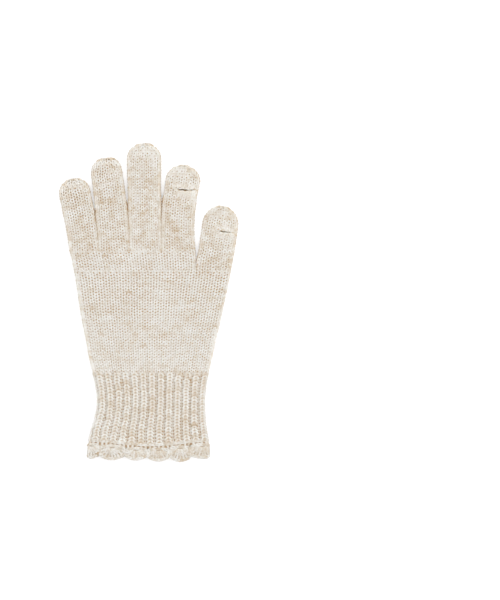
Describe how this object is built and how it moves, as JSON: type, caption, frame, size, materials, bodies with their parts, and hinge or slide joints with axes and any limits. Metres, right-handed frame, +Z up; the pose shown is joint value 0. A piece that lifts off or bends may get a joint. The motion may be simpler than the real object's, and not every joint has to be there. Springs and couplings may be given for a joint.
{
  "type": "lace knit glove",
  "caption": "Knitted glove for a right hand with a ribbed cuff and a scalloped crochet edging, lying flat with the palm up.",
  "frame": {"origin": "on the surface that the glove lies on, under the middle of its outline", "axes": "+Y from the edging to the fingertips, +X to the thumb's side, +Z up, out of the palm side"},
  "size_m": [0.1318, 0.2344, 0.009],
  "materials": {
    "knit": "heathered oatmeal wool yarn in stocking stitch, soft and matt",
    "rib": "the same yarn in one and one rib, soft and matt",
    "crochet": "the same yarn crocheted in shells, soft and matt"
  },
  "bodies": {
    "root": {"palm": "knit", "little_finger": "knit", "ring_finger": "knit", "middle_finger": "knit", "index_finger": "knit", "thumb": "knit", "ribbed_cuff": "rib", "scalloped_edging": "crochet"}
  },
  "joints": []
}
